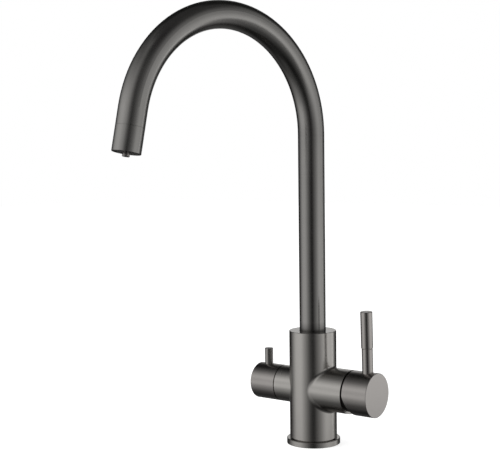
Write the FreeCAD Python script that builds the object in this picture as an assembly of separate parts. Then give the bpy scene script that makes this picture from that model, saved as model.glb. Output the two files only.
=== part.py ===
import FreeCAD, Part
import math
import os

# Kitchen mixer tap with a swan-neck spout and a second handle for filtered water.
# Millimetres, Z up. The origin is the centre of the underside, where the tap stands on the worktop.
# The mixer knob is on +X, the filter knob on -X, and the user stands on the -Y side.

# Clearances
fit_gap = 0.05
sliding_gap = 0.05
free_gap = 0.3

# Base ring and its seal
ring_stand_out = 3.0
ring_height = 5.2
ring_edge = 0.4
base_seal_width = 2.4
base_seal_height = 1.5

# Body casting
body_diameter = 45.0
body_top = 108.6
body_edge = 0.3
body_shoulder = 2.0
shadow_groove_height = 0.8
crotch_blend_radius = 2.0
side_blend_radius = 9.0
filter_blend_radius = 1.0

# Foot plug with the threaded inlets
inlet_block_height = 16.0
inlet_block_wall = 1.6
inlet_circle_radius = 10.9
inlet_thread_diameter = 9.0
inlet_thread_depth = 11.0
hot_inlet_angle = 60.0
cold_inlet_angle = -60.0
filter_inlet_angle = 180.0
stud_thread_diameter = 6.8
stud_thread_depth = 12.0
stud_angle = 0.0
inlet_seal_section = 1.8
inlet_seal_below_top = 2.2
waterway_diameter = 5.0
cross_drilling_diameter = 4.4
drill_run_out = 1.0

# Mixer barrel
barrel_axis_z = 53.7
mixer_barrel_diameter = 41.5
mixer_chamber_floor = 14.0

# Cartridge
cartridge_diameter = 35.0
cartridge_wall = 3.0
cartridge_side_gap = 0.1
cartridge_base_thickness = 3.5
fixed_disc_thickness = 3.2
moving_disc_thickness = 3.0
mixing_hollow_depth = 1.8
mixing_hollow_diameter = 11.0
carrier_plate_thickness = 1.85
carrier_boss_height = 2.0
carrier_boss_width = 10.0
rotor_flange_thickness = 2.2
rotor_neck_diameter = 18.5
rotor_top_above_pivot = 5.0
cartridge_roof_thickness = 3.0
cartridge_neck_wall = 3.2
cartridge_neck_length = 9.0
pivot_above_roof = 7.0
inlet_port_drop = 6.0
outlet_port_rise = 8.0
port_diameter = 5.0
port_seal_section = 1.0
cartridge_nut_length = 7.4
nut_notch_width = 3.0
nut_notch_depth = 1.5

# Cartridge stem and its pivot
stem_width = 8.0
stem_slot_side_gap = 0.25
stem_slot_half_height = 7.0
stem_square_below_pivot = 8.0
stem_neck_top_radius = 2.8
stem_neck_foot_radius = 1.5
stem_ball_radius = 2.0
stem_ball_above_plate = 0.4
stem_past_screw = 1.6
stem_end_gap = 0.5
pivot_pin_diameter = 4.0

# Mixer knob
mixer_knob_gap = 1.9
mixer_knob_length = 25.9
mixer_knob_wall = 2.55
mixer_knob_edge = 0.3
tilt_limit_deg = 20.0
tilt_rim_clearance = 0.45
stem_boss_diameter = 13.0
stem_boss_length = 2.6
dome_wall = 1.0
dome_mouth_clearance = 1.2
dome_skirt_length = 5.3
dome_skirt_to_nut = 0.2
dome_skirt_wall = 1.25
dome_clearance = 0.5
set_screw_diameter = 5.0
set_screw_recess = 0.5
hex_socket_radius = 1.45
hex_socket_depth = 2.5

# Pin lever
lever_from_knob_end = 9.6
lever_turn_deg = 2.1
lever_stem_diameter = 10.3
lever_thread_diameter = 6.0
lever_thread_above_stem = 1.5
lever_seat_depth = 0.85
lever_step_above_axis = 43.6
lever_grip_length = 34.3
lever_grip_diameter = 11.2
lever_edge = 0.4
lever_spigot_diameter = 6.0
lever_spigot_length = 10.0
lever_seam_height = 0.5
lever_seam_depth = 0.6

# Filter barrel and knob
filter_barrel_diameter = 34.9
filter_knob_gap = 1.0
filter_knob_length = 27.8
filter_knob_round = 0.8
filter_knob_wall = 2.45
filter_knob_cavity_spare = 1.0
filter_chamber_floor = 14.0
filter_chamber_diameter = 20.0
filter_chamber_length = 16.0
filter_pin_from_knob_end = 10.5
filter_pin_diameter = 8.1
filter_pin_top_above_axis = 32.8
filter_pin_thread_diameter = 6.0
filter_pin_thread_above_spindle = 2.5
filter_pin_seat_depth = 0.8
filter_set_screw_diameter = 4.0
filter_set_screw_from_rim = 10.7

# Quarter-turn headwork of the filtered water
headwork_foot = 0.6
headwork_bore_diameter = 13.9
headwork_relief_diameter = 16.4
headwork_relief_from = 3.0
headwork_relief_to = 9.0
headwork_hex_across_flats = 24.0
headwork_hex_thickness = 4.3
headwork_neck_diameter = 14.0
headwork_neck_length = 6.7
headwork_bore_depth = 10.3
filter_seal_height = 2.3
filter_seal_bore_diameter = 8.4
filter_disc_thickness = 2.5
filter_disc_port_radius = 1.7
filter_disc_port_offset = 3.6
filter_window_width = 8.0
spindle_diameter = 8.0
spindle_flange_thickness = 2.6
spindle_past_screw = 7.0
spindle_end_gap = 0.5
spindle_ring_section = 1.0

# Spout
spout_diameter = 25.0
spout_wall = 1.2
spout_straight_top = 295.5
spout_bend_radius = 105.0
spout_bend_deg = 168.2
spout_tail_length = 37.5
spout_turn_deg = 10.0
spout_insertion = 7.3

# Spout end fitting in the body
ferrule_length = 24.6
ferrule_inset = 0.2
ferrule_wall = 1.75
ferrule_spigot_length = 8.0
ferrule_floor_gap = 0.4
slip_ring_width = 3.0
slip_ring_groove_depth = 0.9
slip_ring_split = 1.5
upper_slip_ring_below_foot = 3.0
lower_slip_ring_below_foot = 21.9
ring_seal_section = 1.8
upper_ring_seal_below_foot = 13.2
lower_ring_seal_below_foot = 17.4
retaining_groove_below_foot = 8.5
retaining_groove_width = 4.0
retaining_groove_depth = 1.3
retaining_dog_diameter = 3.0
retaining_dog_length = 2.0

# Inner tube of the filtered water
inner_tube_diameter = 6.4
inner_tube_wall = 1.0
connector_diameter = 7.2
connector_bore_diameter = 3.0
connector_depth = 8.8
connector_bore_spare = 0.7
connector_wall = 1.75
connector_collar_height = 9.2
connector_collar_above_floor = 0.8
connector_tube_seat = 3.2
connector_ring_section = 0.95
connector_ring_below_floor = 5.0

# Outlet
outlet_sleeve_length = 22.0
outlet_spigot_length = 7.0
outlet_sleeve_wall = 1.65
outlet_seat_depth = 8.0
outlet_seat_wall = 1.5
outlet_edge = 0.3
outlet_seam = 0.15
outlet_gasket_height = 1.4
outlet_gasket_width = 1.2
outlet_insert_recess = 1.0
outlet_inner_holes = 8
outlet_outer_holes = 14
outlet_hole_diameter = 1.8
outlet_hole_margin = 0.15
nozzle_stand_out = 3.2
nozzle_wall = 1.35
nozzle_collar_length = 7.0
nozzle_tube_seat = 5.0
nozzle_bore_diameter = 3.8

# Radii and stations that follow from the sizes above
body_radius = body_diameter / 2
spigot_radius = body_radius - body_shoulder
ring_radius = body_radius + ring_stand_out
body_shell_foot = ring_height + shadow_groove_height
inlet_block_radius = inlet_circle_radius + inlet_thread_diameter / 2 + inlet_block_wall
mixer_radius = mixer_barrel_diameter / 2
filter_radius = filter_barrel_diameter / 2
spout_radius = spout_diameter / 2
spout_bore_radius = spout_radius - spout_wall
socket_radius = spout_radius + free_gap
ferrule_radius = spout_radius - ferrule_inset
ferrule_bore_radius = spout_bore_radius - fit_gap - ferrule_wall
tube_foot_z = body_top - spout_insertion
ferrule_foot_z = tube_foot_z - ferrule_length
socket_floor_z = ferrule_foot_z - ferrule_floor_gap
centre_bore_foot_z = socket_floor_z - connector_depth - connector_bore_spare

cartridge_radius = cartridge_diameter / 2
cartridge_bore_radius = cartridge_radius - cartridge_wall
mixer_chamber_radius = cartridge_radius + cartridge_side_gap
cartridge_neck_radius = rotor_neck_diameter / 2 + fit_gap + cartridge_neck_wall
disc_face_x = mixer_chamber_floor + cartridge_base_thickness
moving_disc_x = disc_face_x + fixed_disc_thickness + sliding_gap
carrier_x = moving_disc_x + moving_disc_thickness
carrier_plate_top_x = carrier_x + carrier_plate_thickness
rotor_foot_x = carrier_plate_top_x + 2 * sliding_gap
rotor_flange_top_x = rotor_foot_x + rotor_flange_thickness
roof_foot_x = rotor_flange_top_x + 2 * sliding_gap
roof_top_x = roof_foot_x + cartridge_roof_thickness
cartridge_top_x = roof_top_x + cartridge_neck_length
pivot_x = roof_top_x + pivot_above_roof
rotor_top_x = pivot_x + rotor_top_above_pivot
stem_ball_x = carrier_plate_top_x + stem_ball_above_plate
stem_arm = pivot_x - stem_ball_x
tilt_limit = math.radians(tilt_limit_deg)
disc_travel = stem_arm * tilt_limit
moving_disc_radius = cartridge_bore_radius - disc_travel - free_gap

nut_end_x = roof_top_x + cartridge_nut_length
mixer_stub_end = nut_end_x + dome_skirt_to_nut + dome_skirt_length
knob_rim_x = mixer_stub_end + mixer_knob_gap
knob_end_x = knob_rim_x + mixer_knob_length
knob_bore_radius = mixer_radius - mixer_knob_wall
dome_radius = math.hypot(knob_rim_x - pivot_x, knob_bore_radius) - dome_clearance
knob_floor_x = pivot_x + dome_radius + free_gap
stem_boss_x = knob_floor_x - stem_boss_length
boss_swing = (stem_boss_x - pivot_x) * math.sin(tilt_limit)
dome_mouth_radius = stem_boss_diameter / 2 + boss_swing + dome_mouth_clearance
lever_x = knob_end_x - lever_from_knob_end
lever_seat_z = barrel_axis_z + mixer_radius - lever_seat_depth
lever_step_z = barrel_axis_z + lever_step_above_axis
lever_top_z = lever_step_z + lever_grip_length
stem_end_x = lever_x + stem_past_screw

# The lower half of the knob's rim is cut back so that it clears the barrel at full tilt
swung_rim = mixer_stub_end - pivot_x + tilt_rim_clearance + mixer_radius * math.sin(tilt_limit)
rim_relief = swung_rim / math.cos(tilt_limit) - (knob_rim_x - pivot_x)

headwork_bore_radius = headwork_bore_diameter / 2
hex_corner_radius = headwork_hex_across_flats / math.sqrt(3)
filter_stub_end = filter_chamber_floor + filter_chamber_length + headwork_hex_thickness
filter_mouth_radius = hex_corner_radius + free_gap
filter_rim_x = filter_stub_end + filter_knob_gap
filter_end_x = filter_rim_x + filter_knob_length
filter_pin_x = filter_end_x - filter_pin_from_knob_end
filter_pin_foot_z = barrel_axis_z + spindle_diameter / 2 + filter_pin_thread_above_spindle
filter_pin_seat_z = barrel_axis_z + filter_radius - filter_pin_seat_depth
filter_pin_top_z = barrel_axis_z + filter_pin_top_above_axis
filter_set_screw_x = filter_rim_x + filter_set_screw_from_rim
spindle_end_x = filter_set_screw_x + spindle_past_screw

retaining_z = tube_foot_z - retaining_groove_below_foot
# Upstream faces of the perforated insert and the nozzle, measured downstream from the spout's end
insert_top = outlet_gasket_height - outlet_seat_depth
nozzle_top = insert_top - nozzle_collar_length
nozzle_collar_radius = inner_tube_diameter / 2 + fit_gap + nozzle_wall

# The spout's centreline lies in the upright plane that holds this direction
turn = math.radians(spout_turn_deg)
spout_heading = FreeCAD.Vector(-math.sin(turn), -math.cos(turn), 0)
up = FreeCAD.Vector(0, 0, 1)
right = FreeCAD.Vector(1, 0, 0)
left = FreeCAD.Vector(-1, 0, 0)
bend = math.radians(spout_bend_deg)
bend_centre = FreeCAD.Vector(0, 0, spout_straight_top) + spout_heading * spout_bend_radius
bend_spoke = up * math.sin(bend) - spout_heading * math.cos(bend)
bend_end = bend_centre + bend_spoke * spout_bend_radius
tail_direction = spout_heading * math.sin(bend) + up * math.cos(bend)
outlet_point = bend_end + tail_direction * spout_tail_length

nodes = {}


def at(x, y, z):
    return FreeCAD.Vector(x, y, z)


def rod(radius, start, end):
    run = end - start
    return Part.makeCylinder(radius, run.Length, start, run)


def along_z(radius, low, high, x=0.0, y=0.0):
    return rod(radius, at(x, y, low), at(x, y, high))


def along_x(radius, low, high, y=0.0, z=barrel_axis_z):
    return rod(radius, at(low, y, z), at(high, y, z))


def block(low, high):
    size = high - low
    return Part.makeBox(size.x, size.y, size.z, low)


def turned(profile, base, axis):
    """Solid turned about an axis, from corners given as (radius, distance along the axis)."""
    corners = [at(radius, 0, height) for radius, height in profile]
    outline = Part.makePolygon(corners + corners[:1])
    solid = Part.Face(outline).revolve(at(0, 0, 0), at(0, 0, 1), 360)
    solid.Placement = FreeCAD.Placement(base, FreeCAD.Rotation(up, axis))
    return solid


def seal_ring(inner_radius, outer_radius, centre, axis):
    """Round-section ring as it sits when squeezed, flat against its groove's floor and its bore."""
    half = (outer_radius - inner_radius) / 2
    mean = inner_radius + half
    flat = half * math.tan(math.pi / 8)
    section = [(mean - half, -flat), (mean - flat, -half), (mean + flat, -half), (mean + half, -flat),
               (mean + half, flat), (mean + flat, half), (mean - flat, half), (mean - half, flat)]
    return turned(section, centre, axis)


def on_circle(radius, angle_deg, height):
    angle = math.radians(angle_deg)
    return at(radius * math.cos(angle), radius * math.sin(angle), height)


def hex_socket(tip, outward):
    """Six-sided recess that opens at tip and points inwards."""
    corners = [on_circle(hex_socket_radius, 60 * i, 0) for i in range(7)]
    prism = Part.Face(Part.makePolygon(corners)).extrude(at(0, 0, -hex_socket_depth))
    prism.Placement = FreeCAD.Placement(tip, FreeCAD.Rotation(up, outward))
    return prism


def follow_spout(radius, foot_z, tail):
    """Round bar along the spout's centreline: upright run, bend and straight tail."""
    upright = along_z(radius, foot_z, spout_straight_top)
    section = Part.Face(Part.Wire(Part.makeCircle(radius, at(0, 0, spout_straight_top), up)))
    curve = section.revolve(bend_centre, up.cross(spout_heading), spout_bend_deg)
    straight = rod(radius, bend_end, bend_end + tail_direction * tail)
    return upright.fuse([curve, straight]).removeSplitter()


def outlet_turned(profile):
    """Turned piece on the outlet's axis, with distances measured downstream from the spout's end."""
    return turned(profile, outlet_point, tail_direction)


def edges_where(shape, test):
    return [edge for edge in shape.Edges if all(test(edge.valueAt(t)) for t in edge_samples(edge))]


def edge_samples(edge):
    first = edge.FirstParameter
    last = edge.LastParameter
    return [first + (last - first) * share for share in (0.1, 0.5, 0.9)]


def keep(name, shape):
    nodes[name] = shape


# Worktop side: base ring with a rubber ring set flush in its underside
def make_base():
    ring_bore = spigot_radius + fit_gap
    ring = turned([(ring_bore, 0), (ring_radius, 0), (ring_radius, ring_height - ring_edge),
                   (ring_radius - ring_edge, ring_height), (ring_bore, ring_height)], at(0, 0, 0), up)
    seal_mean_radius = (ring_bore + ring_radius) / 2
    groove_inner = seal_mean_radius - base_seal_width / 2 - fit_gap
    groove_outer = seal_mean_radius + base_seal_width / 2 + fit_gap
    groove = along_z(groove_outer, 0, base_seal_height).cut(along_z(groove_inner, 0, base_seal_height))
    keep("base_ring", ring.cut(groove))
    seal = along_z(groove_outer - fit_gap, 0, base_seal_height)
    keep("base_seal", seal.cut(along_z(groove_inner + fit_gap, 0, base_seal_height)))


def inlet_point(angle_deg):
    return on_circle(inlet_circle_radius, angle_deg, 0)


# Foot plug: three hose threads and one stud thread round a solid centre
def make_inlet_block():
    radius = inlet_block_radius
    plug = along_z(radius, 0, inlet_block_height)
    for angle_deg in (hot_inlet_angle, cold_inlet_angle, filter_inlet_angle):
        point = inlet_point(angle_deg)
        plug = plug.cut(along_z(inlet_thread_diameter / 2, 0, inlet_thread_depth, point.x, point.y))
        plug = plug.cut(along_z(waterway_diameter / 2, 0, inlet_block_height, point.x, point.y))
    stud = inlet_point(stud_angle)
    plug = plug.cut(along_z(stud_thread_diameter / 2, 0, stud_thread_depth, stud.x, stud.y))
    seal_z = inlet_block_height - inlet_seal_below_top
    groove_floor = radius - inlet_seal_section + fit_gap
    half_width = inlet_seal_section / 2 + free_gap
    groove = along_z(radius + free_gap, seal_z - half_width, seal_z + half_width)
    plug = plug.cut(groove.cut(along_z(groove_floor, seal_z - half_width, seal_z + half_width)))
    keep("inlet_block", plug)
    keep("inlet_block_seal", seal_ring(groove_floor, radius, at(0, 0, seal_z), up))


def cartridge_ports():
    """Centres of the hot, cold and mixed ports, seen along the mixer barrel."""
    hot = inlet_point(hot_inlet_angle)
    cold = inlet_point(cold_inlet_angle)
    low = barrel_axis_z - inlet_port_drop
    return [(hot.y, low), (cold.y, low), (0.0, barrel_axis_z + outlet_port_rise)]


def mixed_riser_x():
    """The mixed water rises between the inner tube's bore and the ferrule's bore."""
    return (connector_diameter / 2 + fit_gap + ferrule_bore_radius) / 2 + free_gap


def half_rod(radius, length, turn_deg):
    """Half of a round bar along the barrels' axis, cut in the level plane through it."""
    half = Part.makeCylinder(radius, length, at(0, 0, barrel_axis_z), right, 180)
    half.rotate(at(0, 0, barrel_axis_z), right, turn_deg)
    return half


def body_outside():
    """Column and barrels. The mixer barrel's blend is tight above and below it and wide at its sides."""
    column = turned([(0, body_shell_foot), (body_radius, body_shell_foot),
                     (body_radius, body_top - body_edge), (body_radius - body_edge, body_top),
                     (0, body_top)], at(0, 0, 0), up)
    mixer_halves = [half_rod(mixer_radius, mixer_stub_end, turn_deg) for turn_deg in (90, 270)]
    filter_barrel = along_x(filter_radius, -filter_stub_end, 0)
    shell = column.fuse(mixer_halves + [filter_barrel])

    def joins(barrel_radius, side):
        def test(point):
            on_column = abs(math.hypot(point.x, point.y) - body_radius) < 0.01
            on_barrel = abs(math.hypot(point.y, point.z - barrel_axis_z) - barrel_radius) < 0.01
            return on_column and on_barrel and point.x * side > 0
        return test

    # The joint has four quarters. Two opposite ones hold all the corners, and so set the radius at each
    quarters = edges_where(shell, joins(mixer_radius, 1))
    opposite = [edge for edge in quarters if edge.CenterOfMass.y * (edge.CenterOfMass.z - barrel_axis_z) < 0]
    shell = shell.makeFillet(crotch_blend_radius, side_blend_radius, opposite)
    shell = shell.makeFillet(filter_blend_radius, edges_where(shell, joins(filter_radius, -1)))
    return shell.fuse(along_z(spigot_radius, 0, body_shell_foot)).removeSplitter()


def body_chambers():
    """Bores for the foot plug, the cartridge, the headwork, the spout and its inner tube."""
    mouth_start = filter_chamber_floor + filter_chamber_length
    return [
        along_z(inlet_block_radius + fit_gap, 0, inlet_block_height),
        along_x(mixer_chamber_radius, mixer_chamber_floor, mixer_stub_end),
        along_x(filter_chamber_diameter / 2, -filter_stub_end, -filter_chamber_floor),
        along_x(filter_mouth_radius, -filter_stub_end, -mouth_start),
        along_z(socket_radius, socket_floor_z, body_top),
        along_z(connector_diameter / 2 + fit_gap, centre_bore_foot_z, socket_floor_z),
    ]


def body_waterways():
    """Drillings from the inlets to the chambers and from the chambers to the spout."""
    radius = waterway_diameter / 2
    cross = cross_drilling_diameter / 2
    ways = []
    for (port_y, port_z), angle_deg in zip(cartridge_ports(), (hot_inlet_angle, cold_inlet_angle)):
        point = inlet_point(angle_deg)
        riser_top = port_z + cross + drill_run_out
        ways.append(along_z(radius, inlet_block_height, riser_top, point.x, point.y))
        ways.append(along_x(cross, point.x, mixer_chamber_floor, port_y, port_z))
    mixed_y, mixed_z = cartridge_ports()[2]
    riser_x = mixed_riser_x()
    ways.append(along_x(cross, riser_x, mixer_chamber_floor, mixed_y, mixed_z))
    ways.append(along_z(radius, mixed_z - cross - drill_run_out, socket_floor_z, riser_x))
    supply = inlet_point(filter_inlet_angle)
    supply_z = barrel_axis_z - filter_seal_bore_diameter / 4
    supply_top = supply_z + cross + drill_run_out
    ways.append(along_z(radius, inlet_block_height, supply_top, supply.x, supply.y))
    ways.append(along_x(cross, -filter_chamber_floor, supply.x, 0, supply_z))
    relief_x = filter_chamber_floor + (headwork_relief_from + headwork_relief_to) / 2
    relief_z = barrel_axis_z + (headwork_relief_diameter + filter_chamber_diameter) / 4
    ways.append(rod(cross, at(-relief_x, 0, relief_z), at(0, 0, centre_bore_foot_z + radius / 2)))
    return ways


def make_body():
    screw_hole = rod(set_screw_diameter / 2 + fit_gap,
                     at(0, 0, retaining_z), at(0, body_radius, retaining_z))
    solid = body_outside()
    for cutter in body_chambers() + body_waterways() + [screw_hole]:
        solid = solid.cut(cutter)
    keep("tap_body", solid)


# Grub screw in the body's back, whose dog runs in the spout's groove and keeps the spout down
def make_retaining_screw():
    dog_tip = ferrule_radius - retaining_groove_depth + free_gap
    shank_start = dog_tip + retaining_dog_length
    head = body_radius - set_screw_recess
    dog_radius = retaining_dog_diameter / 2
    screw = turned([(0, dog_tip), (dog_radius, dog_tip), (dog_radius, shank_start),
                    (set_screw_diameter / 2, shank_start), (set_screw_diameter / 2, head), (0, head)],
                   at(0, 0, retaining_z), at(0, 1, 0))
    keep("spout_retaining_screw", screw.cut(hex_socket(at(0, head, retaining_z), at(0, 1, 0))))


# Cartridge: base, housing, seals and the fixed disc stay in the body
def make_cartridge():
    outer = cartridge_radius
    bore = cartridge_bore_radius
    axis_point = at(0, 0, barrel_axis_z)
    port_radius = port_diameter / 2
    base = along_x(outer, mixer_chamber_floor, disc_face_x)
    disc = along_x(bore - fit_gap, disc_face_x, disc_face_x + fixed_disc_thickness)
    seals = []
    for port_y, port_z in cartridge_ports():
        base = base.cut(along_x(port_radius, mixer_chamber_floor, disc_face_x, port_y, port_z))
        recess_radius = port_radius + port_seal_section + 2 * fit_gap
        recess_top = mixer_chamber_floor + port_seal_section
        base = base.cut(along_x(recess_radius, mixer_chamber_floor, recess_top, port_y, port_z))
        disc = disc.cut(along_x(port_radius, disc_face_x, moving_disc_x, port_y, port_z))
        seal_centre = at(mixer_chamber_floor + port_seal_section / 2, port_y, port_z)
        seals.append(seal_ring(port_radius + fit_gap, recess_radius - fit_gap, seal_centre, right))
    keep("cartridge_base", base)
    keep("fixed_ceramic_disc", disc)
    keep("cartridge_port_seals", Part.makeCompound(seals))
    neck = cartridge_neck_radius
    neck_bore = rotor_neck_diameter / 2 + fit_gap
    housing = turned([(bore, disc_face_x), (outer, disc_face_x), (outer, roof_top_x), (neck, roof_top_x),
                      (neck, cartridge_top_x), (neck_bore, cartridge_top_x), (neck_bore, roof_foot_x),
                      (bore, roof_foot_x)], axis_point, right)
    keep("cartridge_housing", housing)


# Ring nut that clamps the cartridge, with four spanner notches
def make_cartridge_nut():
    nut = along_x(mixer_chamber_radius - fit_gap, roof_top_x, nut_end_x)
    nut = nut.cut(along_x(cartridge_neck_radius + 2 * fit_gap, roof_top_x, nut_end_x))
    half = nut_notch_width / 2
    notch = block(at(nut_end_x - nut_notch_depth, -mixer_radius, barrel_axis_z - half),
                  at(nut_end_x, mixer_radius, barrel_axis_z + half))
    crossed = notch.copy()
    crossed.rotate(at(0, 0, barrel_axis_z), right, 90)
    keep("cartridge_nut", nut.cut([notch, crossed]))


# Dome that screws into the barrel: part of a sphere about the tilt pivot, so the knob rolls round it
def make_bonnet_dome():
    pivot = at(pivot_x, 0, barrel_axis_z)
    mouth_from_pivot = math.sqrt(dome_radius ** 2 - dome_mouth_radius ** 2)
    slab = along_x(mixer_radius, mixer_stub_end, pivot_x + mouth_from_pivot)
    ball = Part.makeSphere(dome_radius, pivot)
    shell = ball.cut(Part.makeSphere(dome_radius - dome_wall, pivot)).common(slab)
    foot_from_pivot = mixer_stub_end - pivot_x
    foot_radius = math.sqrt(dome_radius ** 2 - foot_from_pivot ** 2)
    skirt_outer = mixer_chamber_radius - fit_gap
    skirt = along_x(skirt_outer, mixer_stub_end - dome_skirt_length, mixer_stub_end)
    shoulder = along_x(mixer_radius, mixer_stub_end, mixer_stub_end + dome_wall).common(ball)
    bore = along_x(min(skirt_outer, foot_radius) - dome_skirt_wall, 0, mixer_stub_end + dome_wall)
    keep("bonnet_dome", shell.fuse([skirt.cut(bore), shoulder.cut(bore)]).removeSplitter())


# Rotor: turns with the knob for the temperature, and carries the stem on its pivot pin
def make_rotor():
    neck = rotor_neck_diameter / 2
    flange = cartridge_bore_radius - free_gap
    rotor = turned([(0, rotor_foot_x), (flange, rotor_foot_x), (flange, rotor_flange_top_x),
                    (neck, rotor_flange_top_x), (neck, rotor_top_x), (0, rotor_top_x)],
                   at(0, 0, barrel_axis_z), right)
    half_width = carrier_boss_width / 2 + 2 * fit_gap
    half_travel = carrier_boss_width / 2 + disc_travel + 2 * free_gap
    rotor = rotor.cut(block(at(rotor_foot_x, -half_width, barrel_axis_z - half_travel),
                            at(rotor_flange_top_x, half_width, barrel_axis_z + half_travel)))
    half_slot = stem_width / 2 + stem_slot_side_gap
    rotor = rotor.cut(block(at(rotor_foot_x, -half_slot, barrel_axis_z - stem_slot_half_height),
                            at(rotor_top_x, half_slot, barrel_axis_z + stem_slot_half_height)))
    pin_radius = pivot_pin_diameter / 2
    pin_hole = rod(pin_radius + fit_gap, at(pivot_x, -neck, barrel_axis_z),
                   at(pivot_x, neck, barrel_axis_z))
    keep("cartridge_rotor", rotor.cut(pin_hole))
    pin_half = math.sqrt(neck ** 2 - pin_radius ** 2) - 2 * fit_gap
    keep("cartridge_pivot_pin", rod(pin_radius, at(pivot_x, -pin_half, barrel_axis_z),
                                    at(pivot_x, pin_half, barrel_axis_z)))


# Moving disc and its carrier, which the stem's ball pushes across the fixed disc
def make_moving_disc():
    disc = along_x(moving_disc_radius, moving_disc_x, carrier_x)
    hollow = along_x(mixing_hollow_diameter / 2, moving_disc_x, moving_disc_x + mixing_hollow_depth)
    keep("moving_ceramic_disc", disc.cut(hollow))
    half = carrier_boss_width / 2
    boss_top = carrier_plate_top_x + carrier_boss_height
    plate = along_x(moving_disc_radius, carrier_x, carrier_plate_top_x)
    boss = block(at(carrier_x, -half, barrel_axis_z - half), at(boss_top, half, barrel_axis_z + half))
    pocket_radius = stem_ball_radius + free_gap + fit_gap
    flare_radius = stem_neck_top_radius + 2 * free_gap
    pocket = along_x(pocket_radius, carrier_x, boss_top)
    flare = Part.makeCone(pocket_radius, flare_radius, boss_top - stem_ball_x,
                          at(stem_ball_x, 0, barrel_axis_z), right)
    keep("disc_carrier", plate.fuse(boss).cut([pocket, flare]))


# Square stem with a ball at its inner end, held in the knob by a grub screw
def make_stem():
    half = stem_width / 2
    square_start = pivot_x - stem_square_below_pivot
    stem = block(at(square_start, -half, barrel_axis_z - half),
                 at(stem_end_x, half, barrel_axis_z + half))
    neck_foot = stem_ball_x + stem_ball_radius / 2
    neck = Part.makeCone(stem_neck_foot_radius, stem_neck_top_radius, square_start - neck_foot,
                         at(neck_foot, 0, barrel_axis_z), right)
    ball = Part.makeSphere(stem_ball_radius, at(stem_ball_x, 0, barrel_axis_z))
    pin_hole = rod(pivot_pin_diameter / 2 + fit_gap, at(pivot_x, -half, barrel_axis_z),
                   at(pivot_x, half, barrel_axis_z))
    keep("cartridge_stem", stem.fuse([neck, ball]).cut(pin_hole))


def knob_relief():
    """Wedge below the axis that cuts the inboard rim back along a slanting plane."""
    foot_z = barrel_axis_z - 2 * mixer_radius
    corners = [at(knob_rim_x - rim_relief, 0, barrel_axis_z), at(knob_rim_x, 0, barrel_axis_z),
               at(knob_rim_x + 2 * rim_relief, 0, foot_z), at(knob_rim_x - rim_relief, 0, foot_z)]
    half_width = mixer_radius + free_gap
    wedge = Part.Face(Part.makePolygon(corners + corners[:1])).extrude(at(0, 2 * half_width, 0))
    wedge.translate(at(0, -half_width, 0))
    return wedge


def make_mixer_knob():
    edge_start = knob_end_x - mixer_knob_edge
    knob = turned([(0, knob_rim_x), (mixer_radius, knob_rim_x), (mixer_radius, edge_start),
                   (mixer_radius - mixer_knob_edge, knob_end_x), (0, knob_end_x)],
                  at(0, 0, barrel_axis_z), right)
    cavity = along_x(knob_bore_radius, knob_rim_x, knob_floor_x)
    cavity = cavity.cut(along_x(stem_boss_diameter / 2, stem_boss_x, knob_floor_x))
    half = stem_width / 2 + fit_gap
    socket = block(at(stem_boss_x, -half, barrel_axis_z - half),
                   at(stem_end_x + stem_end_gap, half, barrel_axis_z + half))
    top = barrel_axis_z + mixer_radius
    stem_top = barrel_axis_z + stem_width / 2
    lever_hole = along_z(lever_thread_diameter / 2 + fit_gap, stem_top, top, lever_x)
    lever_seat = along_z(lever_stem_diameter / 2 + fit_gap, lever_seat_z, top, lever_x)
    screw_radius = set_screw_diameter / 2
    screw_hole = along_z(screw_radius + fit_gap, barrel_axis_z - mixer_radius, barrel_axis_z, lever_x)
    for cutter in (cavity, knob_relief(), socket, leaned(lever_hole), leaned(lever_seat), screw_hole):
        knob = knob.cut(cutter)
    keep("mixer_knob", knob)
    keep("handle_set_screw", upright_grub_screw(lever_x, mixer_radius, stem_width / 2, screw_radius))


def upright_grub_screw(x, barrel_radius, tip_below_axis, radius):
    """Grub screw that enters a knob from below and bears on the stem."""
    head_z = barrel_axis_z - math.sqrt(barrel_radius ** 2 - radius ** 2) + set_screw_recess
    screw = along_z(radius, head_z, barrel_axis_z - tip_below_axis, x)
    return screw.cut(hex_socket(at(x, 0, head_z), at(0, 0, -1)))


def leaned(shape):
    """Turned about the barrel's axis to where the lever stands, a little towards the user's side."""
    shape.rotate(at(lever_x, 0, barrel_axis_z), right, lever_turn_deg)
    return shape


# Pin lever: stem screwed into the knob, grip pushed over the stem's spigot
def make_lever():
    stem_radius = lever_stem_diameter / 2
    seam_radius = stem_radius - lever_seam_depth
    seam_foot = lever_step_z - lever_seam_height
    thread_radius = lever_thread_diameter / 2
    spigot = lever_spigot_diameter / 2
    thread_foot = barrel_axis_z + stem_width / 2 + lever_thread_above_stem
    spigot_top = lever_step_z + lever_spigot_length
    stem = turned([(0, thread_foot), (thread_radius, thread_foot), (thread_radius, lever_seat_z),
                   (stem_radius, lever_seat_z), (stem_radius, seam_foot), (seam_radius, seam_foot),
                   (seam_radius, lever_step_z), (spigot, lever_step_z), (spigot, spigot_top),
                   (0, spigot_top)], at(lever_x, 0, 0), up)
    keep("lever_stem", leaned(stem))
    grip_radius = lever_grip_diameter / 2
    bore = spigot + fit_gap
    bore_top = spigot_top + free_gap
    grip = turned([(bore, lever_step_z), (grip_radius - lever_edge, lever_step_z),
                   (grip_radius, lever_step_z + lever_edge), (grip_radius, lever_top_z - lever_edge),
                   (grip_radius - lever_edge, lever_top_z), (0, lever_top_z), (0, bore_top),
                   (bore, bore_top)], at(lever_x, 0, 0), up)
    keep("lever_grip", leaned(grip))


def outward(radius, near, far):
    """Round bar on the filter barrel's axis, measured outwards from the chamber's floor."""
    return along_x(radius, -filter_chamber_floor - far, -filter_chamber_floor - near)


def filter_turned(profile):
    return turned(profile, at(-filter_chamber_floor, 0, barrel_axis_z), left)


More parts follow.
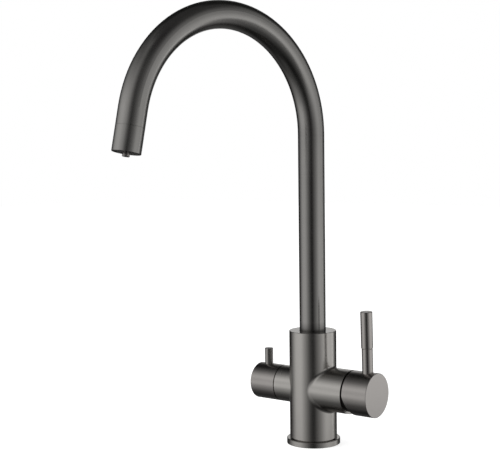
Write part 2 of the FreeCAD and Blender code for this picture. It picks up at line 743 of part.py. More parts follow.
def hex_prism(corner_radius, near, far):
    corners = [on_circle(corner_radius, 60 * i + 30, near) for i in range(7)]
    prism = Part.Face(Part.makePolygon(corners)).extrude(at(0, 0, far - near))
    base = at(-filter_chamber_floor, 0, barrel_axis_z)
    prism.Placement = FreeCAD.Placement(base, FreeCAD.Rotation(up, left))
    return prism


# Headwork of the filtered water: brass body, seat seal, two discs and the spindle
def make_headwork():
    bore = headwork_bore_radius
    outer = filter_chamber_diameter / 2 - fit_gap
    relief = headwork_relief_diameter / 2
    neck = headwork_neck_diameter / 2
    stem_bore = spindle_diameter / 2 + fit_gap
    hex_end = filter_stub_end - filter_chamber_floor
    neck_end = hex_end + headwork_neck_length
    body = filter_turned([(bore, headwork_foot), (outer, headwork_foot), (outer, headwork_relief_from),
                          (relief, headwork_relief_from), (relief, headwork_relief_to),
                          (outer, headwork_relief_to), (outer, filter_chamber_length),
                          (neck, filter_chamber_length), (neck, neck_end),
                          (stem_bore, neck_end), (stem_bore, headwork_bore_depth),
                          (bore, headwork_bore_depth)])
    flange = hex_prism(hex_corner_radius, filter_chamber_length, hex_end)
    body = body.fuse(flange.cut(outward(neck, filter_chamber_length, hex_end)))
    moving_disc_start = filter_seal_height + filter_disc_thickness + sliding_gap
    moving_disc_end = moving_disc_start + filter_disc_thickness
    half = filter_window_width / 2
    window = block(at(-filter_chamber_floor - moving_disc_end, -half, barrel_axis_z - outer),
                   at(-filter_chamber_floor - moving_disc_start, half, barrel_axis_z + outer))
    keep("filter_valve_body", body.cut(window))
    seal = outward(bore - fit_gap, 0, filter_seal_height)
    keep("filter_valve_seal", seal.cut(outward(filter_seal_bore_diameter / 2, 0, filter_seal_height)))
    disc_radius = bore - fit_gap
    fixed = outward(disc_radius, filter_seal_height, filter_seal_height + filter_disc_thickness)
    moving = outward(disc_radius, moving_disc_start, moving_disc_end)
    near = -filter_chamber_floor
    far = near - moving_disc_end
    for offset in (filter_disc_port_offset, -filter_disc_port_offset):
        fixed = fixed.cut(along_x(filter_disc_port_radius, far, near, 0, barrel_axis_z + offset))
        moving = moving.cut(along_x(filter_disc_port_radius, far, near, offset))
    keep("filter_fixed_disc", fixed)
    keep("filter_moving_disc", moving)
    make_spindle(moving_disc_end, hex_end)


def make_spindle(start, hex_end):
    radius = spindle_diameter / 2
    flange = headwork_bore_radius - free_gap - fit_gap
    end = spindle_end_x - filter_chamber_floor
    groove_floor = radius - spindle_ring_section + fit_gap
    ring_centre = hex_end + headwork_neck_length / 2
    half = spindle_ring_section / 2 + free_gap / 3
    spindle = filter_turned([(0, start), (flange, start), (flange, start + spindle_flange_thickness),
                             (radius, start + spindle_flange_thickness), (radius, ring_centre - half),
                             (groove_floor, ring_centre - half), (groove_floor, ring_centre + half),
                             (radius, ring_centre + half), (radius, end), (0, end)])
    keep("filter_spindle", spindle)
    ring_point = at(-filter_chamber_floor - ring_centre, 0, barrel_axis_z)
    keep("spindle_o_ring", seal_ring(groove_floor, radius, ring_point, left))


def make_filter_knob():
    knob = along_x(filter_radius, -filter_end_x, -filter_rim_x)
    outer_edge = edges_where(knob, lambda point: abs(point.x + filter_end_x) < 0.01)
    knob = knob.makeFillet(filter_knob_round, outer_edge)
    cavity_floor_x = filter_stub_end + headwork_neck_length + filter_knob_cavity_spare
    foot = barrel_axis_z - filter_radius
    top = barrel_axis_z + filter_radius
    screw_radius = filter_set_screw_diameter / 2
    cutters = [
        along_x(filter_radius - filter_knob_wall, -cavity_floor_x, -filter_rim_x),
        along_x(spindle_diameter / 2 + fit_gap, -spindle_end_x - spindle_end_gap, -filter_rim_x),
        along_z(filter_pin_thread_diameter / 2 + fit_gap, filter_pin_foot_z, top, -filter_pin_x),
        along_z(filter_pin_diameter / 2 + fit_gap, filter_pin_seat_z, top, -filter_pin_x),
        along_z(screw_radius + fit_gap, foot, barrel_axis_z, -filter_set_screw_x),
    ]
    for cutter in cutters:
        knob = knob.cut(cutter)
    keep("filter_knob", knob)
    screw = upright_grub_screw(-filter_set_screw_x, filter_radius, spindle_diameter / 2, screw_radius)
    keep("filter_set_screw", screw)


def make_filter_pin():
    radius = filter_pin_diameter / 2
    thread = filter_pin_thread_diameter / 2
    pin = turned([(0, filter_pin_foot_z), (thread, filter_pin_foot_z), (thread, filter_pin_seat_z),
                  (radius, filter_pin_seat_z), (radius, filter_pin_top_z - lever_edge),
                  (radius - lever_edge, filter_pin_top_z), (0, filter_pin_top_z)],
                 at(-filter_pin_x, 0, 0), up)
    keep("filter_pin", pin)


def make_spout():
    outlet_tail = spout_tail_length - outlet_sleeve_length
    tube = follow_spout(spout_radius, tube_foot_z, outlet_tail).cut(
        follow_spout(spout_bore_radius, tube_foot_z, outlet_tail))
    keep("spout_tube", tube)


# Ferrule at the spout's foot, with grooves for its slip rings, seals and retaining screw
def make_ferrule():
    bore = ferrule_bore_radius
    spigot = spout_bore_radius - fit_gap
    spigot_top = tube_foot_z + ferrule_spigot_length
    slip_floor = ferrule_radius - slip_ring_groove_depth
    slip_outer = socket_radius - fit_gap
    seal_floor = slip_outer - ring_seal_section
    seal_half = ring_seal_section / 2 + free_gap
    ferrule = turned([(bore, ferrule_foot_z), (ferrule_radius, ferrule_foot_z),
                      (ferrule_radius, tube_foot_z), (spigot, tube_foot_z),
                      (spigot, spigot_top), (bore, spigot_top)], at(0, 0, 0), up)

    def groove(floor_radius, low, high):
        return along_z(ferrule_radius + free_gap, low, high).cut(along_z(floor_radius, low, high))

    slip_rings = []
    for below in (upper_slip_ring_below_foot, lower_slip_ring_below_foot):
        low = tube_foot_z - below - slip_ring_width / 2
        high = low + slip_ring_width
        ferrule = ferrule.cut(groove(slip_floor, low, high))
        band = along_z(slip_outer, low, high).cut(along_z(slip_floor + fit_gap, low, high))
        split = block(at(-slip_ring_split / 2, 0, low), at(slip_ring_split / 2, socket_radius, high))
        slip_rings.append(band.cut(split))
    seals = []
    for below in (upper_ring_seal_below_foot, lower_ring_seal_below_foot):
        centre = tube_foot_z - below
        ferrule = ferrule.cut(groove(seal_floor, centre - seal_half, centre + seal_half))
        seals.append(seal_ring(seal_floor, slip_outer, at(0, 0, centre), up))
    half = retaining_groove_width / 2
    groove_floor = ferrule_radius - retaining_groove_depth
    ferrule = ferrule.cut(groove(groove_floor, retaining_z - half, retaining_z + half))
    keep("spout_ferrule", ferrule)
    keep("spout_slip_rings", Part.makeCompound(slip_rings))
    keep("spout_o_rings", Part.makeCompound(seals))


# Inner tube of the filtered water, from its connector in the body to the nozzle
def make_inner_tube():
    tube_radius = inner_tube_diameter / 2
    bore_radius = tube_radius - inner_tube_wall
    collar_foot = socket_floor_z + connector_collar_above_floor
    collar_top = collar_foot + connector_collar_height
    seat = collar_foot + connector_tube_seat
    nozzle_seat = nozzle_top + nozzle_tube_seat
    tail = spout_tail_length + nozzle_seat
    tube = follow_spout(tube_radius, seat, tail).cut(follow_spout(bore_radius, seat, tail))
    keep("filter_inner_tube", tube)
    plug = connector_diameter / 2
    foot = socket_floor_z - connector_depth
    ring_z = socket_floor_z - connector_ring_below_floor
    ring_floor = plug - connector_ring_section
    half = connector_ring_section / 2 + free_gap / 2
    tube_seat = tube_radius + fit_gap
    collar = tube_seat + connector_wall
    bore = connector_bore_diameter / 2
    connector = turned([(bore, foot), (plug, foot), (plug, ring_z - half), (ring_floor, ring_z - half),
                        (ring_floor, ring_z + half), (plug, ring_z + half), (plug, collar_foot),
                        (collar, collar_foot), (collar, collar_top), (tube_seat, collar_top),
                        (tube_seat, seat), (bore, seat)], at(0, 0, 0), up)
    keep("filter_tube_connector", connector)
    keep("connector_o_ring", seal_ring(ring_floor, plug, at(0, 0, ring_z), up))


# Outlet: threaded sleeve, gasket, perforated insert and the filtered-water nozzle in its middle
def make_outlet():
    outer = spout_radius
    spigot = spout_bore_radius - fit_gap
    bore = spigot - outlet_sleeve_wall
    seat = outer - outlet_seat_wall
    sleeve_top = -outlet_sleeve_length
    spigot_top = sleeve_top - outlet_spigot_length
    sleeve = outlet_turned([(bore, spigot_top), (spigot, spigot_top), (spigot, sleeve_top),
                            (outer - outlet_seam, sleeve_top), (outer, sleeve_top + outlet_seam),
                            (outer, -outlet_edge), (outer - outlet_edge, 0),
                            (seat, 0), (seat, -outlet_seat_depth), (bore, -outlet_seat_depth)])
    keep("outlet_sleeve", sleeve)
    gasket_outer = seat - fit_gap
    gasket_inner = gasket_outer - outlet_gasket_width
    gasket = outlet_turned([(gasket_inner, -outlet_seat_depth), (gasket_outer, -outlet_seat_depth),
                            (gasket_outer, insert_top), (gasket_inner, insert_top)])
    keep("outlet_gasket", gasket)
    nozzle = inner_tube_diameter / 2
    hole = nozzle + fit_gap
    insert = outlet_turned([(hole, insert_top), (gasket_outer, insert_top),
                            (gasket_outer, -outlet_insert_recess), (hole, -outlet_insert_recess)])
    hole_edge = outlet_hole_diameter / 2 + outlet_hole_margin
    inner_circle = nozzle_collar_radius + hole_edge
    outer_circle = gasket_inner - hole_edge
    for count, circle in ((outlet_inner_holes, inner_circle), (outlet_outer_holes, outer_circle)):
        for i in range(count):
            insert = insert.cut(outlet_drill(circle, 360.0 * i / count))
    keep("outlet_insert", insert)
    water = nozzle_bore_diameter / 2
    seat_end = nozzle_top + nozzle_tube_seat
    tip = nozzle_stand_out
    collar = nozzle_collar_radius
    keep("filter_nozzle", outlet_turned([(hole, nozzle_top), (collar, nozzle_top), (collar, insert_top),
                                         (nozzle, insert_top), (nozzle, tip - outlet_edge),
                                         (nozzle - outlet_edge, tip), (water, tip), (water, seat_end),
                                         (hole, seat_end)]))


def outlet_drill(circle, angle_deg):
    centre = on_circle(circle, angle_deg, insert_top)
    drill = rod(outlet_hole_diameter / 2, centre, at(centre.x, centre.y, 0))
    onto_outlet = FreeCAD.Placement(outlet_point, FreeCAD.Rotation(up, tail_direction))
    drill.Placement = onto_outlet.multiply(drill.Placement)
    return drill


def write_parts():
    os.makedirs("parts", exist_ok=True)
    for name, shape in nodes.items():
        if not shape.isValid():
            print("not valid:", name)
        shape.exportStep("parts/" + name + ".step")
        print(name, len(shape.Solids), round(shape.Volume, 1))


make_base()
make_inlet_block()
make_body()
make_retaining_screw()
make_cartridge()
make_cartridge_nut()
make_bonnet_dome()
make_rotor()
make_moving_disc()
make_stem()
make_mixer_knob()
make_lever()
make_headwork()
make_filter_knob()
make_filter_pin()
make_spout()
make_ferrule()
make_inner_tube()
make_outlet()
write_parts()
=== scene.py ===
"""Kitchen mixer tap with a swan-neck spout and a second handle for filtered water.

Every piece comes from the frame. This script gives each its finish and sets up the studio.
Lengths are in metres, as in the frame.
"""

import math

import bpy
from mathutils import Matrix, Vector


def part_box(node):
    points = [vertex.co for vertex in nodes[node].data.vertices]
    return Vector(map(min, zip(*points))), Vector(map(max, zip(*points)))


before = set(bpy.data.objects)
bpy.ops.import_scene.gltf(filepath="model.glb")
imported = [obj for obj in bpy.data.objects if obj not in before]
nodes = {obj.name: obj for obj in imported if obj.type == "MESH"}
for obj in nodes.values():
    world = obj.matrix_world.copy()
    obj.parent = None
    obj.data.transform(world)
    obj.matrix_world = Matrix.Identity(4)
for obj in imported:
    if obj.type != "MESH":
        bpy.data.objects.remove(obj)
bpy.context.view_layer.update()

MM = 0.001

X_AXIS = Vector((1, 0, 0))
Z_AXIS = Vector((0, 0, 1))
ORIGIN = Vector((0, 0, 0))

# The camera that the photograph was taken with, worked out from the outlines of the turned pieces
CAMERA_PLACE = (0.6217, -0.8947, 0.2820)
CAMERA_LENS_MM = 82.47
CAMERA_YAW = math.radians(37.89)
CAMERA_PITCH = math.radians(-3.78)
CAMERA_ROLL = math.radians(-0.69)


def middle(node):
    low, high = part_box(node)
    return (low + high) / 2


# Axes of the turned pieces, from the frame
RING_STAND_OUT = 3.0 * MM
BODY_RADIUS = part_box("base_ring")[1].y - RING_STAND_OUT
BODY_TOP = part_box("tap_body")[1].z
BARREL_AXIS = Z_AXIS * middle("mixer_knob").z
LEVER_FOOT = BARREL_AXIS + X_AXIS * middle("lever_grip").x
LEVER_LEAN = math.radians(2.1)
LEVER_DIRECTION = Vector((0, -math.sin(LEVER_LEAN), math.cos(LEVER_LEAN)))
FILTER_PIN_FOOT = X_AXIS * middle("filter_pin").x

# Centreline of the spout: an upright run, a bend and a straight tail
SPOUT_TURN = math.radians(10.0)
SPOUT_HEADING = Vector((-math.sin(SPOUT_TURN), -math.cos(SPOUT_TURN), 0))
SPOUT_STRAIGHT_TOP = 295.5 * MM
SPOUT_BEND_RADIUS = 105.0 * MM
SPOUT_BEND = math.radians(168.2)
SPOUT_TAIL_DIRECTION = SPOUT_HEADING * math.sin(SPOUT_BEND) + Z_AXIS * math.cos(SPOUT_BEND)
SPOUT_BEND_END = (
    SPOUT_HEADING * SPOUT_BEND_RADIUS * (1 - math.cos(SPOUT_BEND))
    + Z_AXIS * (SPOUT_STRAIGHT_TOP + SPOUT_BEND_RADIUS * math.sin(SPOUT_BEND))
)


class Value:
    """A socket of a node tree. Python's operators join it to others through Math nodes."""

    def __init__(self, tree, socket):
        self.tree = tree
        self.socket = socket

    def __add__(self, other):
        return self.tree.maths("ADD", self, other)

    def __radd__(self, other):
        return self.tree.maths("ADD", other, self)

    def __sub__(self, other):
        return self.tree.maths("SUBTRACT", self, other)

    def __rsub__(self, other):
        return self.tree.maths("SUBTRACT", other, self)

    def __mul__(self, other):
        return self.tree.maths("MULTIPLY", self, other)

    def __rmul__(self, other):
        return self.tree.maths("MULTIPLY", other, self)

    def __gt__(self, other):
        return self.tree.maths("GREATER_THAN", self, other)

    def __abs__(self):
        return self.tree.maths("ABSOLUTE", self)


class Tree:
    """The nodes of one material or of the world."""

    def __init__(self, owner):
        owner.use_nodes = True
        self.nodes = owner.node_tree.nodes
        self.links = owner.node_tree.links
        self.nodes.clear()

    def node(self, kind, settings=None, values=None, output=0):
        """Adds a node, sets it, fills or links its sockets, and gives one of its outputs."""
        made = self.nodes.new(kind)
        for name, setting in (settings or {}).items():
            if name == "stops":
                self.set_stops(made.color_ramp.elements, setting)
            else:
                setattr(made, name, setting)
        for name, value in (values or {}).items():
            if isinstance(value, Value):
                self.links.new(value.socket, made.inputs[name])
            else:
                made.inputs[name].default_value = value
        return Value(self, made.outputs[output]) if made.outputs else made

    def set_stops(self, elements, stops):
        while len(elements) < len(stops):
            elements.new(1.0)
        for element, (place, level) in zip(elements, stops):
            element.position = place
            element.color = grey(level)

    def maths(self, operation, *values):
        return self.node("ShaderNodeMath", {"operation": operation}, dict(enumerate(values)))

    def vector(self, operation, *values, output=0):
        settings = {"operation": operation}
        return self.node("ShaderNodeVectorMath", settings, dict(enumerate(values)), output)

    def dot(self, one, other):
        return self.vector("DOT_PRODUCT", one, other, output=1)

    def length(self, vector):
        return self.vector("LENGTH", vector, output=1)

    def scaled(self, vector, amount):
        values = {0: vector, "Scale": amount}
        return self.node("ShaderNodeVectorMath", {"operation": "SCALE"}, values)

    def along_x(self, x):
        """A vector along X."""
        return self.node("ShaderNodeCombineXYZ", {}, {0: x, 1: 0, 2: 0})

    def place(self):
        """The point on the piece, from the frame's origin. It stays with the piece as it moves."""
        return self.node("ShaderNodeTexCoord", {}, {}, "Object")

    def ranged(self, value, low, high, to_low=0.0, to_high=1.0):
        """Takes low to to_low and high to to_high, and stops there."""
        values = {"Value": value, "From Min": low, "From Max": high}
        return self.node("ShaderNodeMapRange", {}, {**values, "To Min": to_low, "To Max": to_high})

    def noise(self, vector, scale, detail=2.0, roughness=0.5):
        values = {"Vector": vector, "Scale": scale, "Detail": detail, "Roughness": roughness}
        return self.node("ShaderNodeTexNoise", {}, values)

    def bump(self, height, strength, distance):
        values = {"Height": height, "Strength": strength, "Distance": distance}
        return self.node("ShaderNodeBump", {}, values)

    def ramp(self, value, stops):
        """Steps evenly through the levels given at several values."""
        low = stops[0][0]
        span = stops[-1][0] - low
        places = [((at - low) / span, level) for at, level in stops]
        place = self.ranged(value, low, low + span)
        return self.node("ShaderNodeValToRGB", {"stops": places}, {0: place})

    def choose(self, factor, one, other):
        """One value where the factor is 0 and the other where it is 1."""
        values = {0: factor, 2: one, 3: other}
        return self.node("ShaderNodeMix", {"data_type": "FLOAT"}, values)

    def tinted(self, factor, one, other):
        """One colour where the factor is 0 and the other where it is 1."""
        values = {0: factor, 6: one, 7: other}
        return self.node("ShaderNodeMix", {"data_type": "RGBA"}, values, 2)

    def finish(self, colour, roughness, metallic, normal):
        """The surface of a piece: full metal at metallic 1, and plastic, rubber or stone at 0."""
        values = {"Base Color": colour, "Roughness": roughness, "Metallic": metallic}
        self.surface(self.node("ShaderNodeBsdfPrincipled", {}, {**values, "Normal": normal}))

    def surface(self, shader, output="ShaderNodeOutputMaterial"):
        self.node(output, {}, {"Surface": shader})


def rgb(red, green, blue):
    return (red, green, blue, 1.0)


def grey(level):
    return rgb(level, level, level)


# Brushed gunmetal

# The deep and the light tone of each group of pieces. All groups are one gunmetal finish, and
# their tones differ as painted light and shade: each group is set lighter or darker by how it is
# lit.
SHADED_BODY_TONES = rgb(0.385, 0.371, 0.353), rgb(0.425, 0.410, 0.390)
SHADED_SPOUT_TONES = rgb(0.266, 0.260, 0.250), rgb(0.294, 0.287, 0.276)
SHADED_KNOB_TONES = rgb(0.327, 0.311, 0.298), rgb(0.363, 0.344, 0.330)
SHADED_LEVER_TONES = rgb(0.366, 0.348, 0.333), rgb(0.406, 0.385, 0.369)
SHADED_PIN_TONES = rgb(0.284, 0.274, 0.261), rgb(0.315, 0.303, 0.289)

# Painted shade: the spout's colour is darker where it comes out of the body, where shade falls at
# the joint
FOOT_PAINTED_SHADE = 0.40
FOOT_PAINTED_SHADE_HEIGHT = 9.0 * MM

# Fine lines: how many cross a metre, and how fast one changes along its own length
BRUSH_LINES_PER_METRE = 2600
BRUSH_STROKES_PER_METRE = 18
BRUSH_NOISE_ROUGHNESS = 0.65
CLOUD_SCALE = 45.0
GRAIN_SCALE = 2200.0
NOISE_MIDDLE = 0.5

# Shares of lines, clouds and grain in the tone, and the noise that gives its deep and light ends
TONE_SHARES = 0.45, 0.4, 0.15
TONE_SPREAD = 0.36, 0.64

# Shares of lines and grain in the height
HEIGHT_SHARES = 0.7, 0.3
BRUSH_DEPTH = 0.004 * MM
BRUSH_STRENGTH = 0.35

GUNMETAL_ROUGHNESS = 0.24
LINES_IN_ROUGHNESS = 0.12
CLOUDS_IN_ROUGHNESS = 0.06

# How far outside the column the lines begin to run round the barrel, and do so fully
BARREL_LINES_START = 0.3 * MM
BARREL_LINES_FULL = 0.9 * MM


def axis_measures(tree, point, origin, axis):
    """How far along an axis a point is, and how far from it."""
    from_origin = tree.vector("SUBTRACT", point, origin)
    along = tree.dot(from_origin, axis)
    away = tree.vector("SUBTRACT", from_origin, tree.scaled(axis, along))
    return along, tree.length(away)


def turned_lines(origin, axis):
    """Lines that run round one axis: across the lines the pattern follows the turned profile."""

    def across(tree, point):
        along, radius = axis_measures(tree, point, origin, axis)
        return along + radius

    return across


def body_lines(tree, point):
    """Lines round the column, and round the barrels where they stand out of it."""
    height, radius = axis_measures(tree, point, ORIGIN, Z_AXIS)
    along, barrel_radius = axis_measures(tree, point, BARREL_AXIS, X_AXIS)
    start = BODY_RADIUS + BARREL_LINES_START
    on_barrel = tree.ranged(radius, start, BODY_RADIUS + BARREL_LINES_FULL)
    return tree.choose(on_barrel, height + radius, along + barrel_radius)


def spout_lines(tree, point):
    """Lines round the spout's tube, measured along its bent centreline."""
    height, _ = axis_measures(tree, point, ORIGIN, Z_AXIS)
    forward = tree.dot(point, SPOUT_HEADING)
    turned = tree.maths("ARCTAN2", height - SPOUT_STRAIGHT_TOP, SPOUT_BEND_RADIUS - forward)
    on_bend = SPOUT_STRAIGHT_TOP + turned * SPOUT_BEND_RADIUS
    past_bend, _ = axis_measures(tree, point, SPOUT_BEND_END, SPOUT_TAIL_DIRECTION)
    on_tail = past_bend + SPOUT_STRAIGHT_TOP + SPOUT_BEND * SPOUT_BEND_RADIUS
    upper = tree.choose(turned > SPOUT_BEND, on_bend, on_tail)
    return tree.choose(height > SPOUT_STRAIGHT_TOP, height, upper)


def painted_foot_shade(tree, point, colour):
    """Darkens the colour with painted shade where the spout comes out of the body."""
    height = tree.dot(point, Z_AXIS)
    level = tree.ranged(height, BODY_TOP, BODY_TOP + FOOT_PAINTED_SHADE_HEIGHT, FOOT_PAINTED_SHADE, 1.0)
    return tree.scaled(colour, level)


def new_material(name):
    material = bpy.data.materials.new(name)
    return material, Tree(material)


def gunmetal(name, across, tones, painted_shade=None):
    """Brushed metal: fine lines in height and gloss, and clouds between its two tones. Painted
    shade, where one is given, darkens its colour.
    """
    material, tree = new_material(name)
    point = tree.place()
    strokes = tree.scaled(point, BRUSH_STROKES_PER_METRE)
    shift = tree.along_x(across(tree, point) * BRUSH_LINES_PER_METRE)
    across_lines = tree.vector("ADD", strokes, shift)
    lines = tree.noise(across_lines, 1.0, detail=3.0, roughness=BRUSH_NOISE_ROUGHNESS)
    clouds = tree.noise(point, CLOUD_SCALE, detail=3.0)
    grain = tree.noise(point, GRAIN_SCALE, detail=1.0)

    in_lines, in_clouds, in_grain = TONE_SHARES
    tone = tree.ranged(lines * in_lines + clouds * in_clouds + grain * in_grain, *TONE_SPREAD)
    colour = tree.tinted(tone, *tones)
    # Painted shade, where given, darkens the colour
    if painted_shade:
        colour = painted_shade(tree, point, colour)

    by_lines = (lines - NOISE_MIDDLE) * LINES_IN_ROUGHNESS
    by_clouds = (clouds - NOISE_MIDDLE) * CLOUDS_IN_ROUGHNESS
    in_lines, in_grain = HEIGHT_SHARES
    normal = tree.bump(lines * in_lines + grain * in_grain, BRUSH_STRENGTH, BRUSH_DEPTH)
    tree.finish(colour, GUNMETAL_ROUGHNESS + (by_lines + by_clouds), 1.0, normal)
    return material


# Plain finishes of the inner and small pieces

MOTTLE_SCALE = 300.0
SMALL_MOTTLE_SCALE = 900.0
FINE_TO_MOTTLE = 8
MOTTLE_SPREAD = 0.35, 0.65
MOTTLE_IN_ROUGHNESS = 0.15
MOTTLE_DEPTH = 0.01 * MM
MOTTLE_STRENGTH = 0.4


def mottled(name, light, deep, roughness, metallic=0.0, scale=MOTTLE_SCALE, lines=None):
    """Moulded or machined finish: a fine mottle in colour, gloss and height, or turned lines."""
    material, tree = new_material(name)
    point = tree.place()
    mottle = tree.noise(point, scale, detail=3.0)
    if lines:
        shift = tree.along_x(lines(tree, point) * BRUSH_LINES_PER_METRE)
        fine = tree.noise(shift, 1.0, detail=2.0)
    else:
        fine = tree.noise(point, scale * FINE_TO_MOTTLE, detail=2.0)
    colour = tree.tinted(tree.ranged(mottle, *MOTTLE_SPREAD), deep, light)
    normal = tree.bump(fine, MOTTLE_STRENGTH, MOTTLE_DEPTH)
    unevenness = (fine - NOISE_MIDDLE) * MOTTLE_IN_ROUGHNESS
    tree.finish(colour, roughness + unevenness, metallic, normal)
    return material


def machined(name, light, deep, roughness, lines=None, scale=MOTTLE_SCALE):
    return mottled(name, light, deep, roughness, metallic=1.0, scale=scale, lines=lines)


column_lines = turned_lines(ORIGIN, Z_AXIS)
barrel_lines = turned_lines(BARREL_AXIS, X_AXIS)
lever_lines = turned_lines(LEVER_FOOT, LEVER_DIRECTION)
pin_lines = turned_lines(FILTER_PIN_FOOT, Z_AXIS)
outlet_lines = turned_lines(SPOUT_BEND_END, SPOUT_TAIL_DIRECTION)

# Lit and shaded copies of one gunmetal: each group's tones carry painted light and shade
column_metal = gunmetal("gunmetal_round_column", column_lines, SHADED_BODY_TONES)
body_metal = gunmetal("gunmetal_body", body_lines, SHADED_BODY_TONES)
barrel_metal = gunmetal("gunmetal_round_barrel", barrel_lines, SHADED_KNOB_TONES)
lever_metal = gunmetal("gunmetal_lever", lever_lines, SHADED_LEVER_TONES)
pin_metal = gunmetal("gunmetal_filter_pin", pin_lines, SHADED_PIN_TONES)
# The spout's colour carries painted shade at its foot, where it comes out of the body
spout_metal = gunmetal("gunmetal_spout", spout_lines, SHADED_SPOUT_TONES, painted_foot_shade)

BRASS_TONES = rgb(0.78, 0.60, 0.30), rgb(0.66, 0.49, 0.23)

dome_metal = machined("dome_dark_metal", rgb(0.10, 0.095, 0.09), rgb(0.07, 0.067, 0.064),
                      roughness=0.35, lines=barrel_lines)
nozzle_metal = machined("nozzle_dark_metal", rgb(0.30, 0.285, 0.272), rgb(0.25, 0.238, 0.228),
                        roughness=0.3, lines=outlet_lines)
brass = machined("turned_brass", *BRASS_TONES, roughness=0.33, lines=barrel_lines)
plug_brass = machined("plug_brass", *BRASS_TONES, roughness=0.36, lines=column_lines)
steel = machined("blackened_steel", rgb(0.11, 0.11, 0.115), rgb(0.07, 0.07, 0.075),
                 roughness=0.38, scale=SMALL_MOTTLE_SCALE)
rubber = mottled("seal_rubber", rgb(0.030, 0.030, 0.031), rgb(0.018, 0.018, 0.019),
                 roughness=0.62, scale=700.0)
ceramic = mottled("ground_ceramic", rgb(0.86, 0.85, 0.82), rgb(0.79, 0.78, 0.75),
                  roughness=0.22, scale=1200.0)
cartridge_plastic = mottled("cartridge_plastic", rgb(0.62, 0.62, 0.60), rgb(0.54, 0.54, 0.52),
                            roughness=0.42)
slip_plastic = mottled("slip_ring_plastic", rgb(0.80, 0.80, 0.77), rgb(0.72, 0.72, 0.69),
                       roughness=0.35)
tube_plastic = mottled("tube_plastic", rgb(0.72, 0.74, 0.74), rgb(0.64, 0.66, 0.66),
                       roughness=0.3)
outlet_plastic = mottled("outlet_plastic", rgb(0.055, 0.054, 0.053), rgb(0.035, 0.034, 0.034),
                         roughness=0.5, scale=SMALL_MOTTLE_SCALE)

FINISHES = {
    # Body
    "tap_body": body_metal,
    "base_ring": column_metal,
    "base_seal": rubber,
    "inlet_block": plug_brass,
    "inlet_block_seal": rubber,
    "spout_retaining_screw": steel,
    # Cartridge and mixer handle
    "cartridge_base": cartridge_plastic,
    "fixed_ceramic_disc": ceramic,
    "cartridge_port_seals": rubber,
    "cartridge_housing": cartridge_plastic,
    "cartridge_nut": brass,
    "bonnet_dome": dome_metal,
    "cartridge_rotor": cartridge_plastic,
    "cartridge_pivot_pin": steel,
    "moving_ceramic_disc": ceramic,
    "disc_carrier": cartridge_plastic,
    "cartridge_stem": brass,
    "mixer_knob": barrel_metal,
    "handle_set_screw": steel,
    "lever_stem": lever_metal,
    "lever_grip": lever_metal,
    # Filter valve and its handle
    "filter_valve_body": brass,
    "filter_valve_seal": rubber,
    "filter_fixed_disc": ceramic,
    "filter_moving_disc": ceramic,
    "filter_spindle": brass,
    "spindle_o_ring": rubber,
    "filter_knob": barrel_metal,
    "filter_set_screw": steel,
    "filter_pin": pin_metal,
    # Spout and outlet
    "spout_tube": spout_metal,
    "spout_ferrule": plug_brass,
    "spout_slip_rings": slip_plastic,
    "spout_o_rings": rubber,
    "filter_inner_tube": tube_plastic,
    "filter_tube_connector": plug_brass,
    "connector_o_ring": rubber,
    "outlet_sleeve": spout_metal,
    "outlet_gasket": rubber,
    "outlet_insert": outlet_plastic,
    "filter_nozzle": nozzle_metal,
}

for name, finish in FINISHES.items():
    for material_slot in nodes[name].material_slots:
        material_slot.material = finish


# Studio

WHITE = grey(1.0)
ROOM_LIGHT = 0.55
FLOOR_GREY = 0.86
FLOOR_GLOW = 0.62
FLOOR_HALF = 4.0

LAMP_SIZE = 1.2
LAMP_TARGET = Vector((0, 0, 0.1))
LAMPS = (("left_lamp", (-0.9, -0.9, 1.4), 9.0), ("right_lamp", (1.3, 0.1, 1.3), 6.0))

# The light tent is a round wall about the tap, with a roof and a ground, that only metal shows
TENT_FRONT = math.atan2(CAMERA_PLACE[1], CAMERA_PLACE[0])
TENT_RADIUS = 1.80
TENT_HALF_HEIGHT = 4.70
TENT_STEP_DEG = 3
TENT_DARK = 0.017
TENT_ROOF = 0.065
TENT_GROUND = 0.037

# Each light on the wall has its level at an angle times its level at a rise, and keeps the first
# and last level beyond them. The angle goes round the tap from the photograph's side, in degrees.
# The rise is the height over the tent's radius.

# Softbox on the left, from a little under the worktop upwards
LEFT_BY_ANGLE = [
    (0, 0.01), (15, 0.08), (37, 0.45), (60, 0.93), (90, 0.89), (120, 0.21), (133, 0.00),
]
LEFT_BY_RISE = [
    (-1.0, 0.12), (-0.36, 0.58), (-0.18, 0.98), (0.0, 1.00), (0.12, 0.86), (0.26, 0.86),
    (0.40, 0.97), (0.75, 0.51), (1.0, 0.25), (1.4, 0.07),
]

# Softbox on the right, weaker above, with a bright strip at its far side
RIGHT_BY_ANGLE = [
    (4, 0.01), (37, 0.49), (60, 1.00), (70, 1.08), (104, 0.85), (112, 1.53), (120, 0.48),
    (130, 0.10), (145, 0.00),
]
RIGHT_BY_RISE = [
    (-1.3, 0.10), (-0.34, 0.32), (-0.26, 0.56), (-0.18, 1.00), (0.0, 0.90), (0.40, 0.52),
    (0.75, 0.33), (1.0, 0.18), (1.4, 0.06),
]

# Glow overhead, most of it from the front left. Its angles left of the front are negative.
OVERHEAD_BY_ANGLE = [
    (-140, 0.00), (-120, 0.08), (-60, 0.25), (-30, 0.45), (0, 0.09), (35, 0.00),
]
OVERHEAD_BY_RISE = [(0.2, 0.00), (0.5, 0.85), (0.8, 1.00), (1.5, 0.54), (2.0, 0.60), (3.0, 0.90)]

# Bright backdrop behind the tap, in a narrow strip
BACK_BY_ANGLE_FROM_BACK = [(0, 0.87), (10, 0.25), (20, 0.06), (40, 0.00)]
BACK_BY_RISE = [
    (-0.35, 0.00), (-0.10, 0.23), (0.05, 0.76), (0.25, 0.98), (0.70, 0.33), (1.0, 0.05),
    (1.3, 0.00),
]

